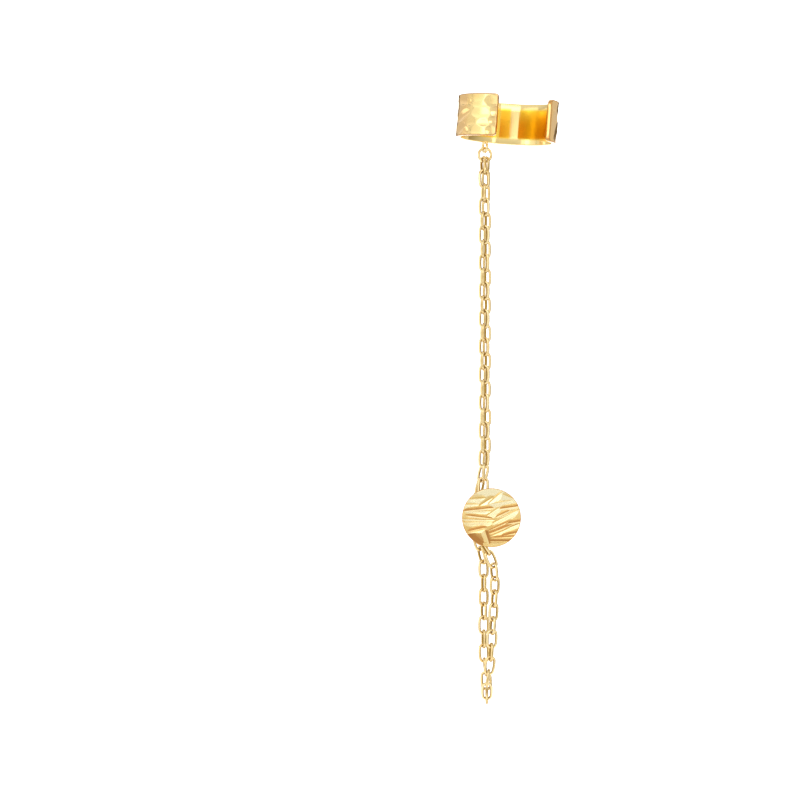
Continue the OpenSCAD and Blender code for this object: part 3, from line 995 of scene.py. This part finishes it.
# Soft boxes: name, place, width and height, brightness
SOFT_BOXES = [
    ("left_box", (-0.36, -0.17, 0.02), (0.32, 0.40), 0.56),
    ("left_core", (-0.34, -0.20, 0.03), (0.09, 0.20), 0.8),
    ("left_back_box", (-0.36, 0.21, 0.0), (0.52, 0.34), 0.52),
    ("left_back_core", (-0.36, 0.17, 0.0), (0.10, 0.12), 0.7),
    ("front_box", (-0.12, -0.46, 0.20), (0.26, 0.16), 1.3),
    ("front_core", (-0.075, -0.5, 0.028), (0.06, 0.10), 0.7),
    ("right_box", (0.24, -0.34, 0.02), (0.07, 0.40), 1.3),
    ("right_back_box", (0.30, 0.26, 0.0), (0.28, 0.34), 0.5),
    ("top_box", (0.0, -0.06, 0.36), (0.34, 0.26), 0.5),
]


class EARRING_OT_stage(bpy.types.Operator):
    """Make the floor, the light and the camera"""
    bl_idname = "earring.stage"
    bl_label = "Stage"

    def execute(self, context):
        scene, stage = context.scene, context.scene.earring_stage
        mesh = bpy.data.meshes.new("floor")
        points, faces = sweep_mesh(stage)
        mesh.from_pydata(points, [], faces)
        mesh.shade_smooth()
        mesh.materials.append(paper_material())
        floor = bpy.data.objects.new("floor", mesh)
        scene.collection.objects.link(floor)

        middle = Vector((0, 0, stage.level))
        for name, place, size, bright in SOFT_BOXES:
            lamp = bpy.data.lights.new(name, "AREA")
            lamp.shape, lamp.size, lamp.size_y = "RECTANGLE", size[0], size[1]
            lamp.energy = math.pi * size[0] * size[1] * bright * stage.light
            box = bpy.data.objects.new(name, lamp)
            box.location = Vector(place) + middle
            box.rotation_euler = (-Vector(place)).to_track_quat("-Z", "Y").to_euler()
            scene.collection.objects.link(box)

        world = bpy.data.worlds.new("studio")
        world.use_nodes = True
        world.node_tree.nodes.clear()
        graph = Graph(world.node_tree)
        way = graph.add("ShaderNodeTexCoord", output="Generated")
        parts = graph.add("ShaderNodeSeparateXYZ", None, {"Vector": way})
        sky = graph.ramp(parts.other("Y") * 0.5 + 0.5, [
            (0.0, grey(0.86)), (0.117, grey(0.86)), (0.25, grey(0.64)), (0.5, (0.37, 0.34, 0.29, 1)),
            (0.67, (0.28, 0.22, 0.16, 1)), (0.96, (0.17, 0.12, 0.07, 1)), (1.0, (0.13, 0.09, 0.05, 1))])
        above, below = parts.other("Z") * 3.6 - 0.6, parts.other("Z") * -3.6 - 0.6
        sky = graph.mix(below, graph.mix(above, sky, grey(0.82)), (0.60, 0.56, 0.50, 1))
        light = graph.add("ShaderNodeBackground", None, {"Color": sky, "Strength": 1.0})
        graph.add("ShaderNodeOutputWorld", None, {"Surface": light})
        scene.world = world

        lens = bpy.data.cameras.new("camera")
        lens.sensor_width = 36
        lens.lens = lens.sensor_width * stage.distance / stage.frame_width
        lens.clip_start, lens.clip_end = 0.01, 10
        camera = bpy.data.objects.new("camera", lens)
        camera.location = (stage.side, -stage.distance, stage.level)
        camera.rotation_euler = (math.pi / 2, 0, 0)
        scene.collection.objects.link(camera)
        scene.camera = camera
        scene.view_settings.view_transform = "Standard"
        return {"FINISHED"}


# Panel and registration

OPERATORS = (EARRING_OT_cuff_band, EARRING_OT_rings, EARRING_OT_chains, EARRING_OT_disc, EARRING_OT_post,
             EARRING_OT_stage)


class EARRING_PT_panel(bpy.types.Panel):
    """Sizes, colours and pieces of the earring"""
    bl_idname = "EARRING_PT_panel"
    bl_label = "Earring"
    bl_space_type = "VIEW_3D"
    bl_region_type = "UI"
    bl_category = "Earring"

    def draw(self, context):
        layout = self.layout
        for name, group in GROUPS.items():
            box = layout.box()
            box.label(text=group.__doc__)
            for size in group.__annotations__:
                box.prop(getattr(context.scene, name), size)
        for operator in OPERATORS:
            layout.operator(operator.bl_idname)


def register():
    for group in (*GROUPS.values(), *OPERATORS, EARRING_PT_panel):
        bpy.utils.register_class(group)
    for name, group in GROUPS.items():
        setattr(bpy.types.Scene, name, PointerProperty(type=group))


def unregister():
    for name in GROUPS:
        delattr(bpy.types.Scene, name)
    for group in reversed((*GROUPS.values(), *OPERATORS, EARRING_PT_panel)):
        bpy.utils.unregister_class(group)


def main():
    register()
    for step in ("cuff_band", "rings", "chains", "disc", "post", "stage"):
        getattr(bpy.ops.earring, step)()


if __name__ == "__main__":
    main()
